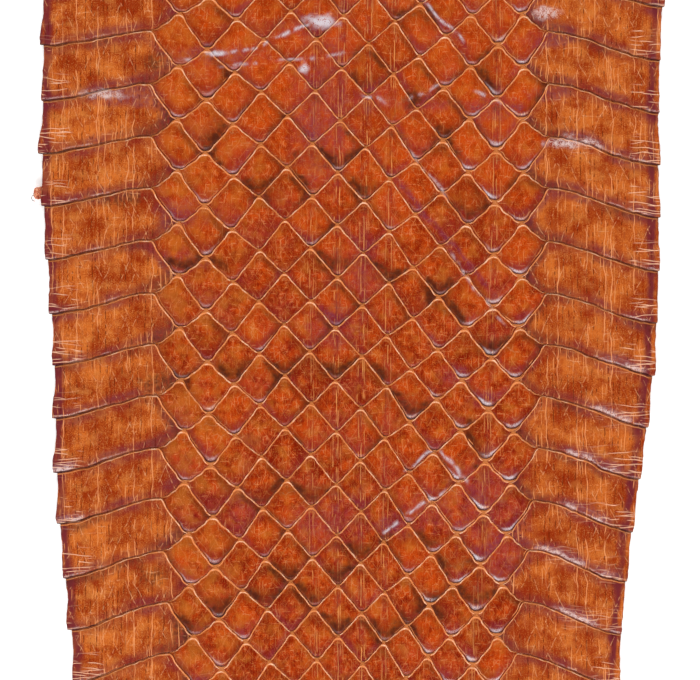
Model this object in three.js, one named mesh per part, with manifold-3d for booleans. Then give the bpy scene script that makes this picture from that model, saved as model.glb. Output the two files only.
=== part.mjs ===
// A flat piece of tanned snake skin, scale side up, cut straight across at both ends.
// The snake was slit along the belly and opened out, so its back runs down the middle as
// diamond scales, and half of every broad belly scute lies along either side.
// Millimetres. +Y runs towards the head, +X to the right, +Z up off the surface it lies on.
import * as THREE from "three";
import { mergeVertices } from "three/addons/utils/BufferGeometryUtils.js";
import Module from "manifold-3d";

const wasm = await Module();
wasm.setup();

// The skin's outline
const LENGTH = 150; // between the two cut ends
const TAPER_REACH = 56; // how far from the middle the taper values below are taken
const SKIN_WIDTH = { middle: 115.4, taper: 6.4, bow: -1.1 };
const SKIN_CENTRE = { middle: 0.3, taper: 0.5, bow: 0.3 };
// Both sides wander out and in, furthest out at peak
const SIDE_WAVE = {
  left: { height: 0.4, length: 64, peak: 31 },
  right: { height: 1.3, length: 116, peak: 1.4 },
};
const THICKNESS = 0.6; // of the leather under the grooves
// Both sides lift off the surface a little, in waves, where the leather dried unevenly.
// The lift is what the sides have at reach beyond the flat middle.
const SIDES = { flatTo: 40, reach: 20, lift: 0.75, wave: 0.3, waveLength: 52, waveShift: 18 };

// The scales' lattice
const ROW = 10.03; // one row of back scales, and the belly scute that belongs to it
const ROW_BOW = 0.45; // rows lie further up at both ends of the skin
const BACK_COLUMNS = 14; // lengthwise columns of diamond scales
const BACK_WIDTH = { middle: 75.8, taper: 4.5, bow: -3.1 }; // between the two lines of scutes
const BACK_CENTRE = { middle: 0.2, taper: 0.5, bow: 0.8 };
const OUTER_BOW = -1.3; // the outer columns bend to the left at both ends
const ROW_ZERO_Y = 65.6; // where row 0 would start without any lag
// How far a column lies towards the tail, because the rows run a little askew
const COLUMN_LAG = [
  { column: -1, value: -0.6 },
  { column: 0, value: 1.1 },
  { column: 2, value: 4.5 },
  { column: 5, value: 2.2 },
  { column: 8, value: 3.4 },
  { column: 11, value: 7.0 },
  { column: 13, value: 8.9 },
  { column: 16, value: 5.3 },
];
// How far a column lies to the right of an even spacing
const COLUMN_LEAN = [
  { column: -1, value: 0 },
  { column: 0, value: 0 },
  { column: 3, value: 0.2 },
  { column: 7.5, value: -0.1 },
  { column: 11, value: -0.6 },
  { column: 15, value: 0 },
  { column: 16, value: 0 },
];
const STRAY = 0.35; // how far a meeting point of scales strays from the lattice
const BUILT_ROWS = { from: -3, to: 16 }; // past both ends, so that the cuts go through scales

// The scales' relief
const SCALE_SIDE = 7.1;
const GROOVE = 0.25; // half the width of the bare skin between two scales
const RISE = 0.9; // a scale comes up out of the groove at its head over this width
const RISE_START = 0.4; // share of its height that it has straight beside the groove
const LIP = 0.1; // and drops back into it at its free tail edge over this width
const HEAD_HEIGHT = 0.15;
const TAIL_HEIGHT = 0.42;
const ROUNDING = 0.05; // share of a side by which a scale's corners are drawn in
const KEEL = { height: 0.12, columns: [6, 7, 8, 9, 13] };

// The belly scutes: their outer ends lie tailwards of their inner ends
const SCUTE_DROP = {
  left: { middle: 4.5, taper: -1.2, bow: 0 },
  right: { middle: 6.1, taper: -0.3, bow: 0 },
};
const SCUTE_TAIL_HEIGHT = 0.5;
const SCUTE_BEND = 0.7; // share of that drop which follows an S instead of a straight line
// How far a tail corner stands out of the side, and the stretch of a scute where it does so
const FLARE = { left: { least: 0.3, most: 0.9 }, right: { least: 0, most: 0.6 } };
const FLARE_STRETCH = { from: 0.3, to: 0.9 };

// A torn shred that still hangs on the left side
const SHRED = { x: -59.5, y: 28, z: 1.0, radius: 1.5, stretch: 1.3, flatness: 0.35, sides: 10 };

// Where a scale and a scute are divided into facets, as shares of their sides
const SCALE_STEPS = [0, 0.1, 0.5, 0.95, 1];
const SCUTE_STEPS = [0, 0.28, 0.55, 0.82, 1];

// The space that the skin is cut out of
const LAYING_SPACE = { halfWidth: 70, roof: 5, lengthSteps: 18 };
const BELOW = -1; // the uncut skin reaches down to here

const { lerp, smoothstep } = THREE.MathUtils;

const leather = new THREE.MeshStandardMaterial({
  name: "tanned_skin",
  color: 0xa84a1b,
  roughness: 0.45,
  metalness: 0,
});

// A number from 0 to 1, always the same for the same pair
function scatter(a, b) {
  const wave = Math.sin(a * 12.9898 + b * 78.233) * 43758.5453;
  return wave - Math.floor(wave);
}

// A size that changes along the skin, at y
function sizeAt({ middle, taper, bow }, y) {
  const share = y / TAPER_REACH;
  return middle + taper * share + bow * share * share;
}

// A value that is given for some columns, at any column
function between(knots, column) {
  const next = Math.max(1, knots.findIndex((knot) => knot.column >= column));
  const from = knots[next - 1];
  const to = knots[next];
  const share = (column - from.column) / (to.column - from.column);
  return lerp(from.value, to.value, (1 - Math.cos(Math.PI * share)) / 2);
}

// The point at the head of the scale of this column and row, where four scales meet
function meetingPoint(column, row) {
  const evenY = ROW_ZERO_Y - ROW * row - between(COLUMN_LAG, column);
  const y = evenY + ROW_BOW * (evenY / TAPER_REACH) ** 2;
  const across = column / (BACK_COLUMNS + 1) - 0.5;
  const evenX = sizeAt(BACK_CENTRE, y) + sizeAt(BACK_WIDTH, y) * across;
  const bow = OUTER_BOW * ((2 * across * y) / TAPER_REACH) ** 2;
  const x = evenX + between(COLUMN_LEAN, column) + bow;
  return new THREE.Vector2(
    x + STRAY * (scatter(column, row) - 0.5),
    y + STRAY * (scatter(row, column + 31) - 0.5),
  );
}

function sideX(side, y) {
  const { height, length, peak } = side < 0 ? SIDE_WAVE.left : SIDE_WAVE.right;
  const wave = height * Math.cos((2 * Math.PI * (y - peak)) / length);
  return sizeAt(SKIN_CENTRE, y) + side * (sizeAt(SKIN_WIDTH, y) / 2 + wave);
}

function sideLift(x, y) {
  const share = Math.max(0, (Math.abs(x) - SIDES.flatTo) / SIDES.reach);
  const along = y + Math.sign(x) * SIDES.waveShift;
  const wave = Math.sin((2 * Math.PI * along) / SIDES.waveLength);
  return (SIDES.lift + SIDES.wave * wave) * share;
}

// Height above the groove, from the distances to a scale's head edge and its tail edge
function relief(fromHead, fromTail, tailHeight) {
  const rise = lerp(RISE_START, 1, smoothstep(fromHead, GROOVE, GROOVE + RISE));
  const edges = smoothstep(fromHead, 0, GROOVE) * smoothstep(fromTail, GROOVE, GROOVE + LIP);
  const slope = fromHead / (fromHead + fromTail);
  return lerp(HEAD_HEIGHT, tailHeight, smoothstep(slope, 0, 1)) * rise * edges;
}

// A point of a scale in plan. From its head, a leads to its right corner and b to its left
function scalePlan(column, row, a, b) {
  return new THREE.Vector2()
    .addScaledVector(meetingPoint(column, row), (1 - a) * (1 - b))
    .addScaledVector(meetingPoint(column + 1, row + 0.5), a * (1 - b))
    .addScaledVector(meetingPoint(column - 1, row + 0.5), (1 - a) * b)
    .addScaledVector(meetingPoint(column, row + 1), a * b);
}

function scalePoint(column, row, a, b) {
  const onEdge = [0, 1].includes(a) || [0, 1].includes(b);
  const drawnIn = onEdge ? 0 : ROUNDING * Math.abs(2 * a - 1) * Math.abs(2 * b - 1);
  const right = lerp(a, 0.5, drawnIn * 2);
  const left = lerp(b, 0.5, drawnIn * 2);
  const { x, y } = scalePlan(column, row, right, left);
  const fromHead = SCALE_SIDE * Math.min(right, left);
  const fromTail = SCALE_SIDE * Math.min(1 - right, 1 - left);
  const keel = KEEL.columns.includes(column) && a === b && !onEdge ? KEEL.height : 0;
  const height = onEdge ? 0 : relief(fromHead, fromTail, TAIL_HEIGHT) + keel;
  return new THREE.Vector3(x, y, THICKNESS + sideLift(x, y) + height);
}

// A point of a scute: out leads from its inner end to the skin's side, down to its tail
function scutePoint(side, column, row, out, down) {
  if (out === 0) return scalePoint(column, row, down, down);
  const inner = scalePlan(column, row, down, down);
  const drop = sizeAt(side < 0 ? SCUTE_DROP.left : SCUTE_DROP.right, inner.y);
  const y = inner.y - drop * lerp(out, smoothstep(out, 0, 1), SCUTE_BEND);
  const { least, most } = side < 0 ? FLARE.left : FLARE.right;
  const flare = lerp(least, most, scatter(row, side));
  const { from, to } = FLARE_STRETCH;
  const stickOut = down === 1 ? 0 : flare * smoothstep(down, from, to);
  const x = lerp(inner.x, sideX(side, y) + side * stickOut, out);
  const onEdge = down === 0 || down === 1;
  const height = onEdge ? 0 : relief(ROW * down, ROW * (1 - down), SCUTE_TAIL_HEIGHT);
  return new THREE.Vector3(x, y, THICKNESS + sideLift(x, y) + height);
}

function pairs(steps) {
  return steps.slice(1).map((to, i) => [steps[i], to]);
}

// The facets of one scale, or of only its left or right half
function scaleFacets(column, row, half = "both") {
  const facets = [];
  for (const [a0, a1] of pairs(SCALE_STEPS)) {
    for (const [b0, b1] of pairs(SCALE_STEPS)) {
      const at = (a, b) => scalePoint(column, row, a, b);
      if (half === "both" || (half === "right" ? a0 > b0 : a0 <= b0)) {
        facets.push([at(a0, b0), at(a0, b1), at(a1, b1)]);
      }
      if (half === "both" || (half === "right" ? a0 >= b0 : a0 < b0)) {
        facets.push([at(a0, b0), at(a1, b1), at(a1, b0)]);
      }
    }
  }
  return facets;
}

// A scute has half a scale's shape at its inner end, and runs from there to the side
function scuteFacets(side, column, row) {
  const facets = scaleFacets(column, row, side < 0 ? "right" : "left");
  for (const [out0, out1] of pairs(SCUTE_STEPS)) {
    for (const [down0, down1] of pairs(SCALE_STEPS)) {
      const at = (out, down) => scutePoint(side, column, row, out, down);
      const loop = [at(out0, down0), at(out0, down1), at(out1, down1), at(out1, down0)];
      const [p, q, r, s] = side < 0 ? loop.reverse() : loop;
      facets.push([p, q, r], [p, r, s]);
    }
  }
  return facets;
}

function topFacets() {
  const facets = [];
  for (let row = BUILT_ROWS.from; row < BUILT_ROWS.to; row += 1) {
    for (let column = 1; column <= BACK_COLUMNS; column += 1) {
      facets.push(...scaleFacets(column, column % 2 ? row : row + 0.5));
    }
    facets.push(...scuteFacets(-1, 0, row + 0.5));
    facets.push(...scuteFacets(1, BACK_COLUMNS + 1, row));
  }
  return facets;
}

// A closed body between an open surface and the same surface pressed flat at z
function bodyAbove(z, facets) {
  const surface = new THREE.BufferGeometry().setFromPoints(facets.flat());
  const { index, attributes } = mergeVertices(surface, 0.001);
  const count = attributes.position.count;
  const upper = Array.from(attributes.position.array);
  const lower = upper.map((value, i) => (i % 3 === 2 ? z : value));
  const faces = Array.from(index.array);
  const underfaces = faces.map((vertex) => vertex + count).reverse();
  const edges = new Set();
  for (let i = 0; i < faces.length; i += 3) {
    const [p, q, r] = faces.slice(i, i + 3);
    [[p, q], [q, r], [r, p]].forEach((edge) => edges.add(edge.join()));
  }
  const walls = [];
  for (const edge of edges) {
    const [p, q] = edge.split(",").map(Number);
    if (!edges.has([q, p].join())) walls.push(q, p, p + count, q, p + count, q + count);
  }
  return solid([...upper, ...lower], [...faces, ...underfaces, ...walls]);
}

function solid(positions, faces) {
  const vertProperties = new Float32Array(positions);
  const triVerts = new Uint32Array(faces);
  return new wasm.Manifold(new wasm.Mesh({ numProp: 3, vertProperties, triVerts }));
}

function solidOf(geometry) {
  const bare = geometry.clone();
  bare.deleteAttribute("normal");
  bare.deleteAttribute("uv");
  const merged = mergeVertices(bare, 0.001);
  return solid(merged.attributes.position.array, merged.index.array);
}

// The space over the surface that the skin lies on, between the two cuts. Its floor is
// flat under the back and lifts at both sides as the skin does.
function layingSpace() {
  const { halfWidth, roof, lengthSteps } = LAYING_SPACE;
  const section = new THREE.Shape();
  section.moveTo(-halfWidth, roof);
  [-halfWidth, -SIDES.flatTo, SIDES.flatTo, halfWidth].forEach((x) => section.lineTo(x, 0));
  section.lineTo(halfWidth, roof);
  const bar = new THREE.ExtrudeGeometry(section, {
    depth: LENGTH,
    steps: lengthSteps,
    bevelEnabled: false,
  });
  bar.rotateX(Math.PI / 2).translate(0, LENGTH / 2, 0);
  const places = bar.attributes.position;
  for (let i = 0; i < places.count; i += 1) {
    if (places.getZ(i) < roof / 2) places.setZ(i, sideLift(places.getX(i), places.getY(i)));
  }
  return solidOf(bar);
}

function shred() {
  const { x, y, z, radius, stretch, flatness, sides } = SHRED;
  const ball = new THREE.SphereGeometry(radius, sides, sides / 2);
  return solidOf(ball.scale(stretch, 1, flatness).translate(x, y, z));
}

function meshOf(name, body, material) {
  const { vertProperties, triVerts } = body.getMesh();
  const geometry = new THREE.BufferGeometry();
  geometry.setAttribute("position", new THREE.BufferAttribute(vertProperties, 3));
  geometry.setIndex(new THREE.BufferAttribute(triVerts, 1));
  geometry.computeVertexNormals();
  const mesh = new THREE.Mesh(geometry, material);
  mesh.name = name;
  return mesh;
}

const skin = bodyAbove(BELOW, topFacets()).intersect(layingSpace()).add(shred());

const object = new THREE.Group();
object.add(meshOf("snake_skin", skin, leather));
export default object;
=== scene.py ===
import math

import bmesh
import bpy
import numpy as np
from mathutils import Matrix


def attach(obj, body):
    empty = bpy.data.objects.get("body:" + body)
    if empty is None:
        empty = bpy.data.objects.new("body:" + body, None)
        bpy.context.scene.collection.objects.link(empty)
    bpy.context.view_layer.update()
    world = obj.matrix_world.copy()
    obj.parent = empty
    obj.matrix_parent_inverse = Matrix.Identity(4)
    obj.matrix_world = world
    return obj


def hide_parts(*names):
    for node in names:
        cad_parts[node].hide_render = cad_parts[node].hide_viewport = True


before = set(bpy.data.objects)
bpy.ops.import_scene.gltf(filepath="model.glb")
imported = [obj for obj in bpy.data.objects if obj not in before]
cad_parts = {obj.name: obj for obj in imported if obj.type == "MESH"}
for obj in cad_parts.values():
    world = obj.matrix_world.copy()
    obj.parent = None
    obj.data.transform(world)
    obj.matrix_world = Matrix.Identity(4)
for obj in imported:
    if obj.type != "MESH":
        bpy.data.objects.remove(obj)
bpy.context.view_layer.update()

# The scales of the back
# Fourteen lengthwise columns of diamond scales, folds of the skin itself, so nothing fixes
# them. Each slopes up from a pale welt at its head to a free lip at its tail. The leather is
# dyed orange brown, stained darker round some lips, and glazed. The middle columns are keeled.
MM = 0.001
# All sizes are in mm, with X to the right, Y to the head and Z up. Three sizes together are
# the one half-way along, how much it grows TAPER_REACH nearer the head, and how it bows.
TAPER_REACH = 56.0
LENGTH = 150.0
ROW = 10.03
BACK_COLUMNS = 14
BACK_WIDTH = (75.8, 4.5, -3.1)
BACK_CENTRE = (0.2, 0.5, 0.8)
ROW_ZERO_Y = 65.6
# How far down each column starts, and how far it leans to the right: column and distance
COLUMN_LAG = ((-1, -0.6), (0, 1.1), (2, 4.5), (5, 2.2), (8, 3.4), (11, 7.0), (13, 8.9), (16, 5.3))
COLUMN_LEAN = ((-1, 0), (0, 0), (3, 0.2), (7.5, -0.1), (11, -0.6), (15, 0), (16, 0))
OUTER_BOW = -1.3
ROW_BOW = 0.45
STRAY = 0.35
BUILT_ROWS = np.arange(-3.0, 16.0)
THICKNESS = 0.6
# The two sides lift off the table, in waves along their length
SIDES_FLAT_TO = 40.0
SIDES_REACH = 20.0
SIDES_LIFT = 0.75
SIDES_WAVE = 0.3
SIDES_WAVE_LENGTH = 52.0
SIDES_WAVE_SHIFT = 18.0
SIDES_BEND = 3.0


def mix(a, b, share):
    return a + (b - a) * share


def smooth(value, low, high):
    share = np.clip((value - low) / (high - low), 0, 1)
    return share * share * (3 - 2 * share)


def hump(value, centre, width):
    return np.exp(-(((value - centre) / width) ** 2))


def rounded_min(a, b, radius):
    share = np.clip(0.5 + 0.5 * (b - a) / radius, 0, 1)
    return mix(b, a, share) - radius * share * (1 - share)


def scatter(a, b):
    wave = np.sin(a * 12.9898 + b * 78.233) * 43758.5453
    return wave - np.floor(wave)


def drift(x, y, size, seed):
    """Smooth random numbers from -1 to 1 over the plane, that change over this size."""
    x, y = x / size, y / size
    left, low = np.floor(x), np.floor(y)
    across, up = smooth(x - left, 0, 1), smooth(y - low, 0, 1)
    corner = [scatter(left + i + 7.7 * seed, low + j - 3.3 * seed) for j in (0, 1) for i in (0, 1)]
    return 2 * mix(mix(corner[0], corner[1], across), mix(corner[2], corner[3], across), up) - 1


def size_at(size, y):
    middle, taper, bow = size
    share = y / TAPER_REACH
    return middle + taper * share + bow * share**2


def between(knots, column):
    """A value that is given for some columns, at any column."""
    columns, values = np.array(knots).T
    after = np.clip(np.searchsorted(columns, column), 1, len(columns) - 1)
    share = (column - columns[after - 1]) / (columns[after] - columns[after - 1])
    return mix(values[after - 1], values[after], (1 - np.cos(np.pi * share)) / 2)


def meeting_point(column, row):
    """Where the scale of this column and row starts, and four scales meet."""
    y = ROW_ZERO_Y - ROW * row - between(COLUMN_LAG, column)
    y = y + ROW_BOW * (y / TAPER_REACH) ** 2
    across = column / (BACK_COLUMNS + 1) - 0.5
    x = size_at(BACK_CENTRE, y) + size_at(BACK_WIDTH, y) * across + between(COLUMN_LEAN, column)
    x = x + OUTER_BOW * (2 * across * y / TAPER_REACH) ** 2
    x = x + STRAY * (scatter(column, row) - 0.5)
    y = y + STRAY * (scatter(row, column + 31) - 0.5)
    return np.stack([x, y], axis=-1)


def scale_corners(column, row):
    return (
        meeting_point(column, row),
        meeting_point(column + 1, row + 0.5),
        meeting_point(column - 1, row + 0.5),
        meeting_point(column, row + 1),
    )


# How far a scale's tail edges bulge towards the tail, by column
EDGE_BOW = ((-1, 0.3), (1, 0.3), (4, 0.05), (11, 0.05), (13, 0.25), (16, 0.3))
DOWN_RIGHT = np.array([0.7, -0.7])
DOWN_LEFT = np.array([-0.7, -0.7])
# Round each meeting point the plan is drawn out sideways and pressed flat: blunt tips and heads
BLUNT_REACH = 2.4
BLUNT_STRETCH = (0.4, -0.42)
BLUNTNESS = ((-1, 1), (1, 1), (4, 0.45), (10, 0.4), (12, 0.9), (16, 1))


def scale_plan(column, row, a, b):
    """From the scale's head, a leads to its right corner and b to its left one."""
    corners = scale_corners(column, row)
    head, right, left, tail = corners
    a, b = a[..., None], b[..., None]
    plan = head * (1 - a) * (1 - b) + right * a * (1 - b) + left * (1 - a) * b + tail * a * b
    bow_left = np.asarray(between(EDGE_BOW, column - 0.5))[..., None]
    bow_right = np.asarray(between(EDGE_BOW, column + 0.5))[..., None]
    rightward = 4 * b * (1 - b) * mix(bow_left, bow_right, a)
    leftward = 4 * a * (1 - a) * mix(bow_right, bow_left, b)
    plan = plan + rightward * DOWN_RIGHT + leftward * DOWN_LEFT
    blunt = plan
    for node, step in zip(corners, (0, 1, -1, 0)):
        strength = np.asarray(between(BLUNTNESS, column + step))[..., None]
        away = (plan - node) * strength
        reach = ((plan - node) ** 2).sum(axis=-1, keepdims=True) / BLUNT_REACH**2
        near = 1 - np.clip(reach, 0, 1)
        blunt = blunt + near**2 * away * np.array(BLUNT_STRETCH)
    return blunt


def side_distances(column, row, a, b):
    """How far inside a scale's sides a point lies: head left, head right, tail right, tail left."""
    head, right, left, tail = scale_corners(column, row)
    to_right, to_left = right - head, left - head
    area = np.abs(to_right[..., 0] * to_left[..., 1] - to_right[..., 1] * to_left[..., 0])
    across_a = area / np.linalg.norm(to_left, axis=-1)
    across_b = area / np.linalg.norm(to_right, axis=-1)
    return a * across_a, b * across_b, (1 - a) * across_a, (1 - b) * across_b


def underside(x, y):
    """How far the flesh side is off the table: not at all under the back, a little at the sides."""
    beyond = np.abs(x) - SIDES_FLAT_TO
    share = (beyond + np.hypot(beyond, SIDES_BEND)) / 2 / SIDES_REACH
    wave = np.sin(2 * np.pi * (y + np.sign(x) * SIDES_WAVE_SHIFT) / SIDES_WAVE_LENGTH)
    return (SIDES_LIFT + SIDES_WAVE * wave) * share


# Dark patches painted on the leather: x, y and half the width and height, in mm
STAINS = (
    (-26.4, 39.1, 2.0, 4.0),
    (-15.2, 29.4, 6.0, 2.4),
    (-4.5, 35.2, 4.8, 1.8),
    (2.6, 30.0, 2.2, 2.2),
    (3.8, 52.0, 2.6, 2.6),
    (13.0, 62.4, 4.0, 2.2),
    (12.0, 46.8, 2.6, 1.8),
    (18.0, 38.5, 2.8, 2.4),
    (26.4, 51.3, 2.2, 3.6),
    (23.5, 27.0, 3.2, 3.0),
    (-3.6, 15.1, 6.0, 1.6),
    (7.1, 13.2, 3.6, 1.8),
    (18.4, 9.6, 4.0, 2.6),
    (-32.6, 15.1, 2.6, 1.0),
    (-23.9, 15.3, 2.6, 1.4),
    (-19.0, -5.8, 7.4, 1.7),
    (-4.0, -5.6, 6.6, 1.8),
    (4.6, -6.2, 3.4, 1.7),
    (-35.0, -8.0, 4.6, 1.4),
    (11.3, -12.6, 4.2, 2.4),
    (20.8, 6.6, 3.4, 2.6),
    (25.6, -1.2, 5.2, 1.9),
    (23.7, -19.6, 2.2, 3.4),
    (-11.6, -29.4, 7.4, 1.6),
    (12.3, -38.7, 5.6, 1.6),
    (2.2, -40.6, 3.6, 1.6),
    (-12.4, -44.9, 3.4, 2.0),
    (-8.4, -49.0, 3.6, 1.9),
    (-17.0, -49.2, 3.6, 1.4),
    (-2.0, -44.4, 2.4, 2.0),
    (-24.0, -51.4, 2.8, 2.2),
    (-31.8, -55.2, 3.2, 2.0),
    (-3.6, -54.8, 4.0, 1.8),
    (9.0, -55.4, 5.2, 2.4),
    (16.5, -51.8, 4.4, 2.2),
    (24.6, -48.6, 4.0, 2.0),
    (20.6, -42.8, 3.0, 2.0),
    (-42.0, -68.0, 5.0, 1.6),
    (2.0, -68.0, 8.0, 2.0),
    (14.0, 70.0, 5.0, 2.0),
    (-44.0, 27.2, 5.0, 1.2),
    (-37.5, 54.0, 2.5, 1.5),
    (-37.0, -8.4, 3.0, 1.6),
    (-38.0, -45.6, 3.0, 1.8),
)
# Patches of painted bluish sheen on the glaze
SHEEN_PATCHES = (
    (-42.5, 47.2, 6.5, 1.6),
    (38.4, 58.0, 4.4, 1.4),
    (39.0, 47.4, 4.0, 1.2),
    (-24.0, 55.0, 8.0, 1.8),
    (-8.5, 60.5, 5.0, 1.6),
    (-5.0, 44.0, 5.0, 11.0),
    (4.5, 47.0, 3.6, 2.2),
    (14.5, 45.6, 5.0, 1.4),
    (27.0, 45.0, 5.4, 2.0),
    (-32.0, 24.5, 4.0, 2.4),
    (-31.5, 15.5, 4.0, 1.6),
    (3.0, 14.0, 3.0, 5.0),
    (-3.0, 2.5, 4.6, 3.4),
    (-20.0, -32.0, 3.0, 3.0),
    (-4.0, -35.0, 6.0, 4.0),
    (9.6, -36.0, 5.0, 2.2),
    (21.0, -6.6, 2.6, 1.6),
    (25.6, -11.0, 2.4, 1.4),
    (26.0, -32.0, 6.0, 7.0),
    (16.0, -33.0, 4.6, 3.4),
    (30.0, -40.0, 4.0, 5.0),
)


# How ragged a patch's edge is, coarsely and finely, and where it fades, as shares of its size
PATCH_RAGGED = (0.45, 0.25)
PATCH_FADES = (0.4, 1.7)


def patches(spots, x, y):
    """How strongly the listed patches cover each point, with ragged edges."""
    ragged = PATCH_RAGGED[0] * drift(x, y, 1.3, 5) + PATCH_RAGGED[1] * drift(x, y, 0.5, 6)
    cover = np.zeros_like(x)
    for middle_x, middle_y, half_wide, half_high in spots:
        reach = np.hypot((x - middle_x) / half_wide, (y - middle_y) / half_high)
        cover = np.maximum(cover, 1 - smooth(reach + ragged, *PATCH_FADES))
    return cover


# Folds that were pressed flat again and stand up as low ridges: two ends and a height
CREASES = (
    (-32.5, 54.2, -17.0, 57.0, 0.22),
    (-17.0, 57.0, -2.6, 63.2, 0.30),
    (-25.0, 53.0, 0.5, 55.4, 0.16),
    (14.5, 65.6, 22.5, 57.4, 0.26),
    (3.0, 47.6, 8.4, 45.4, 0.28),
    (10.0, 46.0, 18.5, 49.8, 0.18),
    (24.0, 49.0, 30.0, 45.4, 0.24),
    (9.6, -26.2, 17.8, -20.4, 0.22),
    (5.8, -37.8, 18.6, -28.9, 0.26),
    (17.6, -21.0, 23.4, -28.0, 0.22),
    (19.6, 17.0, 30.0, 2.6, 0.14),
    (10.6, 38.0, 19.0, 27.4, 0.12),
)
CREASE_WIDTH = 0.75
CREASE_TOP = 0.26
# Straight violet bands of painted shade and sheen, where scale margins bend down: two ends and a
# strength
BENT_MARGIN_SHADE = (
    (9.0, 31.4, 27.4, 9.8, 1.0),
    (13.9, 65.8, 18.4, 60.6, 1.0),
    (19.6, 59.2, 23.5, 56.5, 0.7),
)
BENT_MARGIN_WIDTH = 0.5
# Spots painted white as glints of the glaze: x, y and half the width and height
GLINTS = (
    (-47.1, 47.6, 3.4, 0.8),
    (43.3, 38.1, 4.4, 0.7),
    (38.0, 63.3, 2.0, 1.0),
    (-5.1, 61.6, 2.2, 1.1),
    (-8.6, 52.7, 0.8, 0.8),
    (-25.2, 55.4, 1.6, 0.4),
)


def along_segments(segments, width, x, y):
    """The greatest strength of some straight bands with soft sides and ends."""
    strength = np.zeros_like(x)
    wander = 0.5 * drift(x, y, 3.0, 8)
    for x0, y0, x1, y1, most in segments:
        length = math.hypot(x1 - x0, y1 - y0)
        along = ((x - x0) * (x1 - x0) + (y - y0) * (y1 - y0)) / length
        aside = ((x - x0) * (y1 - y0) - (y - y0) * (x1 - x0)) / length + wander
        ends = smooth(along, -1.0, 2.0) * (1 - smooth(along, length - 2.0, length + 1.0))
        strength = np.maximum(strength, most * ends * hump(aside, 0, width))
    return strength


def spaced(edges, middle_count):
    """Steps from 0 to 1, close together near both ends, as far from each as the edges say."""
    near, far = edges
    middle = np.linspace(near[-1], 1 - far[-1], middle_count + 1)[1:-1]
    return np.concatenate([near, middle, 1 - np.array(far[::-1])])


HEAD_STEPS = (0, 0.012, 0.026, 0.042, 0.06, 0.082, 0.11, 0.145, 0.19)
TAIL_STEPS = (0, 0.008, 0.016, 0.025, 0.036, 0.049, 0.065, 0.085, 0.11, 0.145)
SCALE_STEPS = spaced((HEAD_STEPS, TAIL_STEPS), 15)

HALF_WIDE = 5.0
HEAD_ROUND = (0.9, 1.7)
TAIL_ROUND = (0.8, 2.4)
SIDE_ROUND = 0.9
# All scales come down to the same height at their sides, where they are welded together
WELD_WIDE = 0.06
WELT_AT = 0.2
WELT_WIDE = 0.13
WELT_HIGH = 0.09
HEAD_HIGH = 0.14
TAIL_HIGH = 0.42
ROLL_HIGH = 0.16
BULGE_HIGH = 0.08
BULGE_WIDE = 2.2
LEAST_HIGH = 0.05
# The grooves' edges wobble, and the leather has low dents: round, lengthwise and crosswise
WOBBLE_COARSE = 0.06
WOBBLE_FINE = 0.04
DENTS = 0.018
LONG_DENTS = 0.012
CROSS_DENTS = 0.010
LIP_WIDE = (0.32, 1.15)
LIP_DROP = 0.4
LIP_STEEP = 2.2
# How strongly the keeled columns show it, and the ridge itself
KEELED = {6: 0.6, 7: 1.0, 8: 1.0, 9: 0.8, 13: 0.9}
KEEL_REACH = 0.9
KEEL_HIGH = 0.07
KEEL_WIDE = 0.32
# How far the tail tips are rolled up, by column, and more so near the lower right corner
ROLLED_LEFT = ((-1, 0.5), (1, 0.5), (3, 0.3), (5, 0.1), (8, 0.05))
ROLLED_RIGHT = ((10, 0.15), (12, 0.55), (14, 0.75), (16, 0.6))
ROLLED = ROLLED_LEFT + ROLLED_RIGHT
CORNER_ROLL = 0.4
CORNER_X = (6, 24)
CORNER_Y = (12, -12)
CHANCE_ROLL = 0.6
TIP_WIDE = 1.25
TIP_TURN = 2.4
# Bands along a scale's edges: how far inside the edge each lies, and how wide it is. Those at the
# tail's edge are painted light: a highlight on the lip's edge, shade in the crevice and under the
# lip, and a broader highlight on rolled lips
HEAD_LINE = (0.16, 0.13)
LIP_EDGE_HIGHLIGHT = (0.26, 0.08)
HEAD_CREASE = (0.6, 0.16)
CREVICE_SHADE = (-0.04, 0.1)
UNDER_LIP = (0.05, 0.07)
RIM = (0.3, 1.0)
HIGHLIGHT_LINE = (0.25, 0.12)
# What the leather's colours are painted by: a number for each at every point of the mesh
MARKS = ("bare_skin_and_highlight", "crevice_shade", "stain_and_shade", "sheen_and_shade", "rim", "lip", "tone", "keel", "cut")


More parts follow.
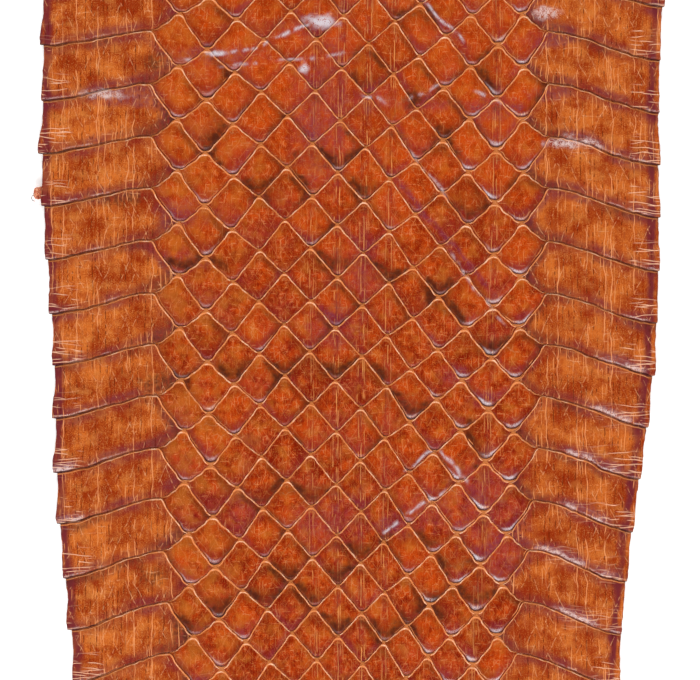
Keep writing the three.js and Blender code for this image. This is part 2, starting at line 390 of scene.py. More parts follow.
def scale_surface(column, row, a, b):
    """The height over the grooves and the markings of some scales, at a and b."""
    x, y = np.moveaxis(scale_plan(column, row, a, b), -1, 0)
    head_left, head_right, tail_right, tail_left = side_distances(column, row, a, b)
    down = (a + b) / 2
    aside = (a - b) * HALF_WIDE
    luck = scatter(column + 3.1, row - 2.7)
    towards_corner = smooth(x, *CORNER_X) * smooth(y, *CORNER_Y)
    roll = between(ROLLED, column) + CORNER_ROLL * towards_corner + CHANCE_ROLL * (luck - 0.5)
    roll = np.clip(roll, 0, 1)
    wobble = WOBBLE_COARSE * drift(x, y, 1.3, 1) + WOBBLE_FINE * drift(x, y, 0.4, 4)
    head_round = mix(*HEAD_ROUND, between(BLUNTNESS, column))
    from_head = rounded_min(head_left, head_right, head_round) + wobble
    from_tail = rounded_min(tail_right, tail_left, mix(*TAIL_ROUND, roll)) + wobble
    inside = rounded_min(from_head, from_tail, SIDE_ROUND)
    on_grid = np.minimum(np.minimum(head_left, head_right), np.minimum(tail_right, tail_left))
    flat_edge = smooth(on_grid, 0, WELD_WIDE)

    # The relief: a slope up to a free lip, which is rolled up round some tail tips
    turned = TIP_TURN * (scatter(row + 0.7, column - 4.1) - 0.5)
    at_tip = hump(aside - turned * roll, 0, TIP_WIDE)
    rolled = roll * at_tip
    shoulder = 1 - np.clip(1 - (inside - 0.1) / mix(*LIP_WIDE, rolled), 0, 1) ** LIP_STEEP
    lip = mix(LIP_DROP * (1 - 0.7 * rolled), 1.0, shoulder) * smooth(from_tail, 0.02, 0.12)
    crown = mix(HEAD_HIGH, TAIL_HIGH + ROLL_HIGH * rolled, smooth(down, 0.05, 0.95))
    crown = crown + BULGE_HIGH * np.sin(np.pi * down) * hump(aside, 0, BULGE_WIDE)
    crown = crown + DENTS * drift(x, y, 0.9, 2) + LONG_DENTS * drift(x, y / 2.5, 0.45, 3)
    crown = crown + CROSS_DENTS * drift(x / 2.5, y, 0.45, 7)
    keel = np.zeros_like(x)
    for keeled, strength in KEELED.items():
        keel = keel + strength * (column == keeled) * hump(aside, 0, KEEL_REACH)
    crown = crown + KEEL_HIGH * keel * hump(aside, 0, KEEL_WIDE) * smooth(down, 0.08, 0.3)
    welt = WELT_HIGH * hump(from_head, WELT_AT, WELT_WIDE) * smooth(from_tail, 0, 0.5)
    height = (crown * smooth(from_head, WELT_AT, 1.0) + welt) * lip
    height = np.maximum(height, LEAST_HIGH * smooth(on_grid, 0, 0.3)) * flat_edge

    # The marks for the colours: some follow the scale's form, and some come by luck. Some are painted
    # light: shade, sheen and highlights
    stain_and_shade = patches(STAINS, x, y)
    near_lip = hump(inside, 0, 1.7) * smooth(down, 0.3, 0.6)
    head_shadow = hump(from_head, 0.9, 0.6) * hump(aside, 0, 1.8) * (down < 0.5)
    pale = 0.6 + 0.4 * drift(x, y, 2.2, 9)
    luckier = scatter(column - 5.3, row + 8.9)
    luckiest = scatter(column + 9.1, row - 6.4)
    folded = along_segments(CREASES, CREASE_WIDTH, x, y)
    # Painted violet shade above the rolled tips, and in spots near the tail
    shade_above_lip = roll * hump(from_tail, 0.9, 0.5) * at_tip
    in_spots = smooth(drift(x, y, 2.6, 31), -0.5, 0.6)
    shade_above_lip = shade_above_lip + smooth(luckier, 0.5, 0.9) * hump(from_tail, 0.6, 0.6) * in_spots
    one_side = smooth(aside * np.sign(luckiest - 0.5), 0, 1.8)
    gap = 1 - smooth(inside, -0.12, 0.05)
    # Pale bare skin along the head, and a painted highlight along the lip's edge, most where lips are
    # rolled
    head_line = hump(from_head, *HEAD_LINE) * smooth(from_tail, 0.0, 0.5)
    doubled = smooth(drift(x, y, 2.4, 27), 0.0, 0.5) * (0.3 + 0.7 * roll)
    lip_edge_highlight = 0.8 * hump(from_tail, *LIP_EDGE_HIGHLIGHT) * doubled
    bare_skin_and_highlight = np.maximum(np.maximum(0.5 * gap, head_line * (0.75 + 0.25 * pale)), lip_edge_highlight)
    head_crease = hump(from_head, *HEAD_CREASE) * hump(aside, 0, 1.3) * (down < 0.5)
    bare_skin_and_highlight = bare_skin_and_highlight + 0.4 * head_crease * (luckiest > 0.3)
    open_share = 0.15 + 0.5 * luckier * smooth(drift(x, y, 1.8, 29), -0.4, 0.4)
    # Painted shade in the crevice under each lip
    crevice_shade = hump(from_tail, *CREVICE_SHADE) * np.clip(1.7 * rolled + 0.5 * at_tip, 0, 1)
    crevice_shade = crevice_shade + open_share * hump(from_tail, *UNDER_LIP)
    stain_and_shade = stain_and_shade * (0.25 + 0.85 * near_lip)
    # Painted shade along each scale's edges, which makes it look domed
    stain_and_shade = stain_and_shade + 0.25 * hump(inside, 0, 0.9) * smooth(drift(x, y, 2.0, 37), -0.5, 0.4)
    # Dark near the lip at random, and painted shadow in the head zone below the scale in front
    stain_and_shade = stain_and_shade + 0.55 * luck * near_lip**2 * one_side + 0.5 * luckier * head_shadow
    stain_and_shade = stain_and_shade + 0.5 * smooth(luckiest, 0.5, 0.9) * hump(from_head, 0.8, 0.8) * one_side
    # Painted sheen in bluish patches, painted shade and sheen in bands where margins bend down, the
    # violet shade above lips, and violet in patches towards the tail
    sheen_and_shade = 0.9 * patches(SHEEN_PATCHES, x, y) + 1.6 * along_segments(BENT_MARGIN_SHADE, BENT_MARGIN_WIDTH, x, y)
    sheen_and_shade = sheen_and_shade + 0.9 * shade_above_lip
    sheen_and_shade = sheen_and_shade + 0.4 * smooth(drift(x, y, 4.0, 38), 0.0, 0.6) * smooth(down, 0.2, 0.7)
    rim = hump(inside, *RIM) * smooth(down, 0.2, 0.7) * (0.2 + 0.8 * luckiest)
    rim = rim + 0.9 * luckier * smooth(down, 0.68, 0.95)
    # Painted highlight: white crescents on the rolled lips
    highlight = 1.4 * rolled**1.5 * hump(from_tail, *HIGHLIGHT_LINE)
    highlight = highlight * smooth(drift(x, y, 1.5, 24), -1.2, 0.2)
    # Painted highlight along the creases' crests
    crease_glint = along_segments(CREASES, CREASE_TOP, x, y) * smooth(drift(x, y, 1.0, 18), -0.4, 0.4)
    marks = {
        "bare_skin_and_highlight": np.clip(bare_skin_and_highlight, 0, 1),
        "crevice_shade": np.clip(crevice_shade, 0, 1),
        "stain_and_shade": np.clip(stain_and_shade, 0, 1),
        "sheen_and_shade": np.clip(sheen_and_shade, 0, 1.6),
        "rim": np.clip(rim, 0, 1),
        # The lip mark is painted highlight: crescents, crease crests and the listed glints
        "lip": np.clip(highlight + 3.5 * crease_glint + patches(GLINTS, x, y), 0, 1),
        "tone": luck + np.zeros_like(x),
        "keel": keel,
        "cut": np.zeros_like(x),
    }
    return height + folded * flat_edge, marks


def grid_faces(count, wide, high, flipped=False):
    """The quads of some grids of points, each wide by high, as rows of four corners."""
    first = np.arange(count)[:, None, None] * wide * high
    i = np.arange(wide - 1)[None, :, None] * high
    j = np.arange(high - 1)[None, None, :]
    low = first + i + j
    quads = np.stack([low, low + 1, low + high + 1, low + high], axis=-1)
    return quads[..., ::-1] if flipped else quads


# Points that agree to one of this many parts of a mm are one point of the mesh
PARTS_OF_MM = 2000
# How far the walls of the cut spread out in the map
WALL_SPREAD = 0.5


def skin_object(name, places, marks, faces):
    """A mesh of the welded points, cut at the skin's two ends, with a wall along each cut."""
    keys = np.round(places[:, :2] * PARTS_OF_MM).astype(np.int64)
    _, first, same = np.unique(keys, axis=0, return_index=True, return_inverse=True)
    same = same.ravel()
    faces = [[int(v) for v in same[face]] for face in faces]
    mesh = bpy.data.meshes.new(name)
    mesh.from_pydata((places[first] * MM).tolist(), [], faces)
    for key in MARKS:
        layer = mesh.attributes.new(key, "FLOAT", "POINT")
        layer.data.foreach_set("value", marks[key][first].astype(np.float32))
    work = bmesh.new()
    work.from_mesh(mesh)
    for end in (-1, 1):
        everything = work.verts[:] + work.edges[:] + work.faces[:]
        bmesh.ops.bisect_plane(
            work,
            geom=everything,
            dist=1e-7,
            plane_co=(0, end * LENGTH / 2 * MM, 0),
            plane_no=(0, end, 0),
            clear_outer=True,
        )
    add_cut_walls(work)
    work.to_mesh(mesh)
    work.free()
    mesh.shade_smooth()
    add_bake_map(mesh)
    piece = bpy.data.objects.new(name, mesh)
    bpy.context.scene.collection.objects.link(piece)
    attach(piece, "root")
    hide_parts("snake_skin")
    return piece


def add_cut_walls(work):
    """Leads the free edges down to the flesh side: the skin's cut thickness."""
    cut = work.verts.layers.float["cut"]
    end_y = LENGTH / 2 * MM

    def is_free(vert):
        return vert[cut] > 0.5 or abs(abs(vert.co.y) - end_y) < 1e-6

    edges = [e for e in work.edges if e.is_boundary and is_free(e.verts[0]) and is_free(e.verts[1])]
    for vert in work.verts:
        vert[cut] = 0
    walls = bmesh.ops.extrude_edge_only(work, edges=edges)["geom"]
    for vert in walls:
        if isinstance(vert, bmesh.types.BMVert):
            x, y = vert.co.x / MM, vert.co.y / MM
            vert.co.z = float(underside(np.array(x), np.array(y))) * MM
            vert[cut] = 1


def add_bake_map(mesh):
    """A map seen from above, in which the walls spread out past the edges."""
    places = np.empty(len(mesh.vertices) * 3, np.float32)
    mesh.vertices.foreach_get("co", places)
    places = places.reshape(-1, 3)[:, :2]
    cut = np.empty(len(mesh.vertices), np.float32)
    mesh.attributes["cut"].data.foreach_get("value", cut)
    low, high = places.min(axis=0), places.max(axis=0)
    at_end = np.abs(np.abs(places[:, 1]) - LENGTH / 2 * MM) < 1e-6
    spread = WALL_SPREAD * MM
    flat = places + 0
    flat[:, 1] += np.where(at_end, np.sign(places[:, 1]) * cut * spread, 0)
    flat[:, 0] += np.where(at_end, 0, np.sign(places[:, 0]) * cut * spread)
    flat = (flat - low + spread) / (high - low + 2 * spread)
    corners = np.empty(len(mesh.loops), np.int32)
    mesh.loops.foreach_get("vertex_index", corners)
    layer = mesh.uv_layers.new(name="OFBake")
    layer.uv.foreach_set("vector", flat[corners].astype(np.float32).ravel())


class Wire:
    """An output of a material's node, worked on with Python's own operators."""

    def __init__(self, socket):
        self.socket = socket

    def node(self, kind, settings, inputs, out=0):
        tree = self.socket.id_data
        made = tree.nodes.new("ShaderNode" + kind)
        for name, value in settings.items():
            setattr(made, name, value)
        for name, value in inputs.items():
            if isinstance(value, Wire):
                tree.links.new(value.socket, made.inputs[name])
            else:
                made.inputs[name].default_value = value
        return Wire(made.outputs[out])

    def math(self, operation, first, second):
        return self.node("Math", {"operation": operation}, {0: first, 1: second})

    def __add__(self, other):
        return self.math("ADD", self, other)

    __radd__ = __add__

    def __sub__(self, other):
        return self.math("SUBTRACT", self, other)

    def __rsub__(self, other):
        return self.math("SUBTRACT", other, self)

    def __mul__(self, other):
        return self.math("MULTIPLY", self, other)

    __rmul__ = __mul__

    def __abs__(self):
        return self.math("ABSOLUTE", self, 0)


def dye(code):
    """A colour written as on a screen, as the shader wants it."""
    parts = [int(code[i : i + 2], 16) / 255 for i in (0, 2, 4)]
    return tuple(c / 12.92 if c < 0.04045 else ((c + 0.055) / 1.055) ** 2.4 for c in parts) + (1,)


def place_in_mm(tree):
    place = Wire(tree.nodes.new("ShaderNodeTexCoord").outputs["Object"])
    return place.node("VectorMath", {"operation": "SCALE"}, {0: place, "Scale": 1 / MM})


def own_place(place, tone):
    """The place moved by a different step for each scale, so that no marking runs on over an edge."""
    step = place.node("CombineXYZ", {}, {0: tone * 400, 1: tone * 170})
    return place.node("VectorMath", {"operation": "ADD"}, {0: place, 1: step})


def grain(place, size, detail=3):
    """Noise from 0 to 1. Its size is in mm, one for both axes or one for each."""
    sizes = size if isinstance(size, tuple) else (size, size)
    inputs = {0: place, 1: (1 / sizes[0], 1 / sizes[1], 0)}
    scaled = place.node("VectorMath", {"operation": "MULTIPLY"}, inputs)
    inputs = {"Vector": scaled, "Scale": 1.0, "Detail": detail}
    return place.node("TexNoise", {"noise_dimensions": "2D"}, inputs)


def over(value, low, high):
    """0 below low, 1 above high, and smooth between them."""
    inputs = {"Value": value, "From Min": low, "From Max": high}
    return value.node("MapRange", {"interpolation_type": "SMOOTHSTEP"}, inputs)


def cracks(place, size, width, wander=0.35):
    """Cracks of one width in mm, round cells of this size in mm, that wander off their lines."""
    stray = grain(place, 2.0, 2) - 0.5
    offset = stray.node("CombineXYZ", {}, {0: stray * wander * 4, 1: stray * wander * 2})
    place = place.node("VectorMath", {"operation": "ADD"}, {0: place, 1: offset})
    inputs = {0: place, 1: (1 / size[0], 1 / size[1], 0)}
    scaled = place.node("VectorMath", {"operation": "MULTIPLY"}, inputs)
    settings = {"voronoi_dimensions": "2D", "feature": "DISTANCE_TO_EDGE"}
    cells = place.node("TexVoronoi", settings, {"Vector": scaled, "Scale": 1.0})
    half = width / 2 / min(size)
    return 1 - over(cells, half * 0.3, half * 1.3)


def part_of(place, axis):
    """How far a place is along X, Y or Z: axis 0, 1 or 2."""
    return place.node("SeparateXYZ", {}, {0: place}, out=axis)


def lines(place, spacing, width, length, lean=0.0, wander=1.0, axis=0):
    """Fine lines of one width, at uneven spacing, each broken off now and then. All in mm."""
    across = part_of(place, axis)
    along = part_of(place, 1 - axis)
    stray = grain(place, (4.0, 4.0), 1) - 0.5
    lane = (across + lean * along + stray * wander) * (1 / spacing)
    number = lane.math("FLOOR", lane, 0)
    luck = lane.node("TexWhiteNoise", {"noise_dimensions": "1D"}, {"W": number}, out="Value")
    off = abs(lane - number - (0.15 + luck * 0.7)) * spacing
    spot = lane.node("CombineXYZ", {}, {0: number * 7.3, 1: along * (1 / length)})
    here = lane.node("TexNoise", {"noise_dimensions": "2D"}, {0: spot, "Scale": 1.0, "Detail": 1.0})
    return (1 - over(off, width * 0.25, width * 0.75)) * over(here, 0.46, 0.56)


def paint(under, coat, share):
    inputs = {0: share, 6: under, 7: coat}
    return share.node("Mix", {"data_type": "RGBA", "clamp_factor": True}, inputs, out=2)


def mark(place, name):
    return place.node("Attribute", {"attribute_name": name}, {}, out="Fac")


GRAIN_HIGH = 0.06
LEATHER_SHINE = 0.12
GLAZE_ROUGHNESS = 0.16


def glazed(material, colour, roughness, height, glaze):
    """Fills in the shader of a piece of glazed leather, with its grain as a fine relief."""
    shader = material.node_tree.nodes["Principled BSDF"]
    links = material.node_tree.links
    links.new(colour.socket, shader.inputs["Base Color"])
    links.new(roughness.socket, shader.inputs["Roughness"])
    relief = height.node("Bump", {}, {"Height": height, "Distance": GRAIN_HIGH * MM})
    links.new(relief.socket, shader.inputs["Normal"])
    shader.inputs["Specular IOR Level"].default_value = LEATHER_SHINE
    links.new(glaze.socket, shader.inputs["Coat Weight"])
    shader.inputs["Coat Roughness"].default_value = GLAZE_ROUGHNESS


def leather(name):
    material = bpy.data.materials.new(name)
    material.use_nodes = True
    return material


# The pale grey white of painted highlights on lips, creases and glints
LIP_HIGHLIGHT = dye("d2c6cc")
RAW_EDGE = dye("b98a63")
# The colour changes over the skin: more gold on the left flank, more orange to the head
LEFT_FLANK = (-34, -14)
HEAD_END = (-10, 70)


def paint_grooves(colour, place, fine):
    """The grooves' skin: dull between the tips, and a bright line along each head and, as a painted
    highlight, along the lips' edges.
    """
    bare_skin_and_highlight = mark(place, "bare_skin_and_highlight")
    shine = grain(place, 1.6, 3)
    line = paint(dye("ec8e56"), dye("fcc8a6"), over(shine + fine * 0.3, 0.55, 0.85))
    colour = paint(colour, dye("c2703a"), over(bare_skin_and_highlight, 0.15, 0.45))
    return paint(colour, line, over(bare_skin_and_highlight, 0.46, 0.74) * over(fine + shine, 0.4, 0.8))


def back_leather():
    material = leather("glazed_back_scales")
    place = place_in_mm(material.node_tree)
    tone = mark(place, "tone")
    here = own_place(place, tone)
    clouds = grain(here, 2.8, 2)
    mottle = grain(here, 0.9, 3)
    fine = grain(here, 0.2, 2)
    upright = grain(here, (0.24, 1.8), 2)
    # The dye, from deep red to orange, with gold where it lies thin
    warmth = clouds * 0.45 + mottle * 0.28 + fine * 0.2 + upright * 0.08 + tone * 0.12
    colour = paint(dye("7c1400"), dye("be4004"), over(warmth, 0.39, 0.71))
    left_flank = 1 - over(part_of(place, 0), *LEFT_FLANK)
    gold = over(grain(here, 3.0, 3) + left_flank * 0.16, 0.45, 0.8) * (1 - mark(place, "rim") * 0.8)
    colour = paint(colour, dye("c06a22"), gold * 0.56)
    colour = paint(colour, dye("cc4c08"), over(part_of(place, 1), *HEAD_END) * 0.3)
    colour = paint(colour, dye("cc8440"), over(fine * 0.6 + upright * 0.4, 0.5, 0.66) * 0.34)
    rim = mark(place, "rim") * over(clouds * 0.6 + fine * 0.4, 0.3, 0.6)
    colour = paint(colour, dye("70140a"), rim * 0.75)
    # Fine cracks and threads in the glaze, where the leather shows pale
    crinkles = cracks(here, (1.9, 1.6), 0.14) * over(clouds + mottle, 1.02, 1.25)
    colour = paint(colour, dye("e29562"), crinkles * 0.4)
    threads = lines(here, 1.1, 0.15, 2.2) * over(clouds, 0.42, 0.6)
    weft = lines(here, 0.8, 0.15, 2.2, axis=1, wander=1.2) * over(mottle, 0.46, 0.62)
    askew = lines(here, 2.0, 0.15, 2.6, lean=0.7) + lines(here, 2.2, 0.15, 2.6, lean=-0.6)
    colour = paint(colour, dye("e48e54"), (threads + weft + askew * 0.5) * 0.42)
    # The keels: pale and dark lines side by side over a violet ground
    keel = mark(place, "keel")
    striae = lines(here, 0.55, 0.19, 4.0, wander=0.4)
    colour = paint(colour, dye("ee9c58"), striae * keel * 0.85)
    dark_striae = over(grain(here, (0.3, 8.0), 1), 0.56, 0.66)
    colour = paint(colour, dye("72160a"), dark_striae * keel * 0.5)
    colour = paint(colour, dye("741f28"), keel * over(clouds, 0.38, 0.6) * 0.45)
    # What lies on top: painted sheen and shade, stains with painted shade, grooves, painted shade in
    # the crevices, painted highlights on the lips and the cut edge
    # Painted violet sheen and shade
    sheen_and_shade = mark(place, "sheen_and_shade") * over(mottle * 0.5 + fine * 0.5, 0.3, 0.6)
    colour = paint(colour, dye("742c46"), sheen_and_shade * 0.45)
    # Stains, together with the painted shade of the scales' edges and heads
    stain_and_shade = mark(place, "stain_and_shade") * over(mottle * 0.5 + clouds * 0.5, 0.1, 0.7)
    colour = paint(colour, dye("642c10"), over(stain_and_shade, 0, 0.7) * 0.75)
    colour = paint(colour, dye("32120e"), over(stain_and_shade, 0.45, 1.0) * 0.62)
    colour = paint_grooves(colour, place, fine)
    # Painted shade in the crevices
    colour = paint(colour, dye("281012"), mark(place, "crevice_shade") * 0.95)
    # Painted highlights on lips, creases and glints
    colour = paint(colour, LIP_HIGHLIGHT, mark(place, "lip") * over(fine * 0.5 + mottle * 0.5, 0.3, 0.5))
    colour = paint(colour, RAW_EDGE, over(mark(place, "cut"), 0.15, 0.6))
    # The finish, and the grain that can be felt
    roughness = 0.46 - sheen_and_shade * 0.1 + mottle * 0.12
    height = mottle * 0.4 + upright * 0.2 + fine * 0.15 + threads * 0.4 + weft * 0.4
    height = height + crinkles * 0.5 + striae * keel * 0.6
    glazed(material, colour, roughness, height, 0.7 - mark(place, "crevice_shade") * 0.7)
    return material


def scale_piece(name, columns, material):
    cells = [(c, r + (0 if c % 2 else 0.5)) for c in columns for r in BUILT_ROWS]
    column = np.array([c for c, r in cells])[:, None, None]
    row = np.array([r for c, r in cells])[:, None, None]
    a = SCALE_STEPS[None, :, None]
    b = SCALE_STEPS[None, None, :]
    plan = scale_plan(column, row, a, b)
    height, marks = scale_surface(column, row, a, b)
    x, y = plan[..., 0], plan[..., 1]
    z = underside(x, y) + THICKNESS + height
    places = np.concatenate([plan, z[..., None]], axis=-1).reshape(-1, 3)
    marks = {key: np.broadcast_to(value, x.shape).ravel() for key, value in marks.items()}
    steps = len(SCALE_STEPS)
    faces = grid_faces(len(cells), steps, steps).reshape(-1, 4)
    piece = skin_object(name, places, marks, faces)
    piece.data.materials.append(material)
    return piece


back_material = back_leather()
scale_piece("left_flank_scales", range(1, 6), back_material)
scale_piece("middle_back_scales", range(6, 10), back_material)
scale_piece("right_flank_scales", range(10, 15), back_material)


# The belly scutes
# One broad scale a row, slit along the belly so that each side of the skin keeps half of it.
# They are folds of the same leather, smoother and more golden than the back, cracked across
# by the stretching of the hide. The free edges are ragged, and some lips curl up.
SKIN_WIDTH = (115.4, 6.4, -1.1)
SKIN_CENTRE = (0.3, 0.5, 0.3)
# By side, -1 for the left: the outer edge's wave, as half its height, its length and its peak
SIDE_WAVE = {-1: (0.4, 64.0, 31.0), 1: (1.3, 116.0, 1.4)}
# How far the scutes slope down to their outer ends, and how much of that is a soft bend
SCUTE_DROP = {-1: (4.5, -1.2, 0.0), 1: (6.1, -0.3, 0.0)}
SCUTE_BEND = 0.7
# How far a scute's outer end stands out near its tail, at least and at most, and where
SCUTE_FLARE = {-1: (0.3, 0.9), 1: (0.0, 0.6)}
FLARE_DOWN = (0.3, 0.9)
# How far the free edge strays up and down, coarsely and finely, and the outer end sideways
EDGE_RAGGED = (0.24, 0.10)
SIDE_RAGGED = 0.12
SCUTE_STEPS = np.linspace(0, 1, 65)
SCUTE_TAIL_HIGH = 0.5
SCUTE_TALL = 9.8
SCUTE_SWELL = 0.10
SCUTE_DENTS = 0.015
SCUTE_LONG_DENTS = 0.025
SCUTE_WELT_AT = 0.35
SCUTE_WELT_WIDE = 0.3
SCUTE_WELT_HIGH = 0.1
CURL_HIGH = 0.5
CURL_AT = 1.7
CURL_TALL = 3.6
# The dye left a violet strip along the outer edges: how far in it starts, and how wide it is
STRIP_SET_IN = {-1: 0.0, 1: 0.7}
STRIP_WIDE = (0.8, 2.0)
# Bands along a scute's edges, as on the back. The crevice band is painted shade, and the two bands
# along the lips are painted highlights
SCUTE_HEAD_LINE = (0.26, 0.13)
SCUTE_CREVICE_SHADE = (0.06, 0.1)
SCUTE_HIGHLIGHT_LINE = (0.34, 0.12)
CURL_HIGHLIGHT_LINE = (0.55, 0.4)
# Where scratches cross the outer ends, in from the side, and where the back's redness fades
SCRATCHED = (3.0, 7.5)
NEAR_BACK = (36, 50)
RIGHT_SIDE = (0, 30)
# Lips that curl up: the middle, and half the length
CURLS = (
    (45.2, 37.7, 4.5),
    (56.4, 29.0, 2.5),
    (53.5, -4.0, 5.0),
    (51.0, -14.6, 4.5),
    (47.8, -22.6, 7.5),
    (46.0, -33.0, 6.0),
    (41.6, -41.6, 6.5),
    (50.0, -45.5, 3.0),
    (44.0, -53.5, 5.0),
    (-55.0, -24.4, 3.0),
    (-54.0, -34.6, 3.0),
)


def curl_at(x, y):
    strength = np.zeros_like(x)
    for middle_x, middle_y, half in CURLS:
        reach = np.hypot((x - middle_x) / half, (y - middle_y) / CURL_TALL)
        strength = np.maximum(strength, 1 - smooth(reach, 0.5, 1.15))
    return strength


def ragged_edge(side, boundary, x):
    """How far a scute's free edge strays up or down."""
    lane = 40 * boundary + 3000 * side
    return EDGE_RAGGED[0] * drift(x, lane, 3.1, 11) + EDGE_RAGGED[1] * drift(x, lane, 0.9, 12)


def side_x(side, y):
    height, length, peak = SIDE_WAVE[side]
    wave = height * np.cos(2 * np.pi * (y - peak) / length)
    return size_at(SKIN_CENTRE, y) + side * (size_at(SKIN_WIDTH, y) / 2 + wave)


def scute_plan(side, row, out, down):
    column = 0 if side < 0 else BACK_COLUMNS + 1
    head, tail = meeting_point(column, row), meeting_point(column, row + 1)
    blunt = scale_plan(column, row, down, down)
    inner = mix(blunt, mix(head, tail, down[..., None]), smooth(out, 0, 0.1)[..., None])
    inner_x, inner_y = np.moveaxis(inner, -1, 0)
    roughly = mix(inner_x, side_x(side, inner_y), out)
    stray = mix(ragged_edge(side, row, roughly), ragged_edge(side, row + 1, roughly), down)
    drop = size_at(SCUTE_DROP[side], inner_y) * mix(out, smooth(out, 0, 1), SCUTE_BEND)
    y = inner_y - drop + stray * smooth(out, 0, 0.12)
    flare = mix(*SCUTE_FLARE[side], scatter(row, side)) * smooth(down, *FLARE_DOWN) * (down < 1)
    edge_x = side_x(side, y) + side * (flare + SIDE_RAGGED * drift(y, 50.0 * side, 0.8, 13))
    return mix(inner_x, edge_x, out), y


def scute_surface(side, row, x, y, out, from_head, from_tail, down):
    """The height over the grooves and the markings of some scutes."""
    luck = scatter(row + 0.37, side * 5.1)
    curl = curl_at(x, y)
    outer = smooth(out + 0.25 * drift(x, 30 * row, 3.0, 19), 0.35, 0.75)
    wobble = 0.06 * drift(x, 20 * row, 0.8, 1)
    crown = mix(HEAD_HIGH, SCUTE_TAIL_HIGH, smooth(down, 0.05, 0.95))
    crown = crown + SCUTE_SWELL * drift(x, y / 1.5, 5.0, 14) * np.sin(np.pi * down)
    crown = crown + SCUTE_LONG_DENTS * drift(x, y / 3, 0.8, 15)
    crown = crown + SCUTE_DENTS * drift(x, y, 0.7, 16)
    crown = crown + CURL_HIGH * curl * hump(from_tail, CURL_AT, 1.0)
    lip = smooth(from_tail + wobble, 0.02, 0.16 + 1.3 * curl)
    on_grid = np.minimum(from_head, from_tail)
    welt = SCUTE_WELT_HIGH * hump(from_head, SCUTE_WELT_AT, SCUTE_WELT_WIDE) * (1 - 0.6 * outer)
    height = crown * smooth(from_head + wobble, 0.0, 1.3) + welt
    flat_edge = smooth(on_grid, 0, WELD_WIDE)
    height = np.maximum(height * lip, LEAST_HIGH * smooth(on_grid, 0, 0.3)) * flat_edge
    # The marks for the colours: the strip along the outer edge, violet bands of painted sheen and
    # shade, painted shade, and painted highlights
    to_side = np.abs(side_x(side, y) - x)
    ragged = 0.5 * drift(x, y, 2.5, 17) + 0.3 * drift(x, y, 0.8, 20)
    set_in = STRIP_SET_IN[side]
    strip = smooth(to_side + 0.4 * ragged, set_in - 0.2, set_in + 0.2)
    strip_from, strip_to = STRIP_WIDE
    strip = strip * (1 - smooth(to_side + 0.7 * ragged, set_in + strip_from, set_in + strip_to))
    strip = strip * (0.7 + 0.3 * smooth(drift(3 * x, y, 5.0, 33), -0.5, 0.3))
    patchy = 0.5 + 0.5 * drift(x, y, 3.5, 23)
    # Violet bands near the head and the tail: painted sheen and shade
    violet = hump(from_head, 0.9, 0.9) * (0.5 + luck) * smooth(patchy, 0.35, 0.8)
    violet = violet + 1.2 * hump(from_tail, 0.9, 0.8) * smooth(patchy, 0.3, 0.8)
    # Painted shade at the inner end near the tail, and in patches below the head, carried with the
    # stains
    inner_end = hump(out + 0.02 * drift(x, y, 1.2, 34), 0.0, 0.16) * smooth(luck, 0.1, 0.6)
    shade = 0.7 * hump(from_tail, 0.3, 1.5) * inner_end
    shade = shade + 0.6 * hump(from_head, 0.8, 0.9) * smooth(drift(x, 30 * row, 6.0, 35), 0.1, 0.7)
    # Painted shade in the crevices along both edges
    crevice_shade = hump(from_tail + wobble, *SCUTE_CREVICE_SHADE) + hump(from_head, 0, 0.07)
    open_share = np.maximum(outer, smooth(out, 0, 0.1) * 0.5)
    # Painted sheen: the listed patches, round the curls and in the violet bands
    sheen_and_shade = patches(SHEEN_PATCHES, x, y) + 1.2 * curl * hump(from_tail, 1.2, 1.0) + 0.7 * violet
    rim = strip + 0.5 * hump(from_tail, 0.7, 0.8) + 0.3 * hump(from_head, 0.9, 0.8)
    # Painted highlights along the outer lips, and broader ones on the curls
    highlight = 0.9 * hump(from_tail, *SCUTE_HIGHLIGHT_LINE) * outer * smooth(patchy, 0.2, 0.8)
    curl_spots = smooth(drift(x, y, 1.6, 36), -0.5, 0.2)
    highlight = highlight + 1.2 * hump(from_tail, *CURL_HIGHLIGHT_LINE) * curl * curl_spots
    near_side = 1 - smooth(to_side, *SCRATCHED)
    marks = {
        "bare_skin_and_highlight": np.clip(0.95 * hump(from_head, *SCUTE_HEAD_LINE) * mix(1.0, 0.7, outer), 0, 1),
        "crevice_shade": np.clip(crevice_shade, 0, 1) * mix(0.45, 1.0, open_share),
        "stain_and_shade": np.clip(patches(STAINS, x, y) * 0.8 + shade, 0, 1),
        "sheen_and_shade": np.clip(sheen_and_shade, 0, 1),
        "rim": np.clip(rim, 0, 1),
        # The lip mark is painted highlight
        "lip": np.clip(highlight + patches(GLINTS, x, y), 0, 1),
        "tone": luck + np.zeros_like(x),
        "keel": near_side * smooth(down, 0.3, 0.7) * (0.3 + luck) + curl * 0.4,
        "cut": np.zeros_like(x),
    }
    folded = along_segments(CREASES, CREASE_WIDTH, x, y)
    return height + folded * 0.5 * flat_edge, marks


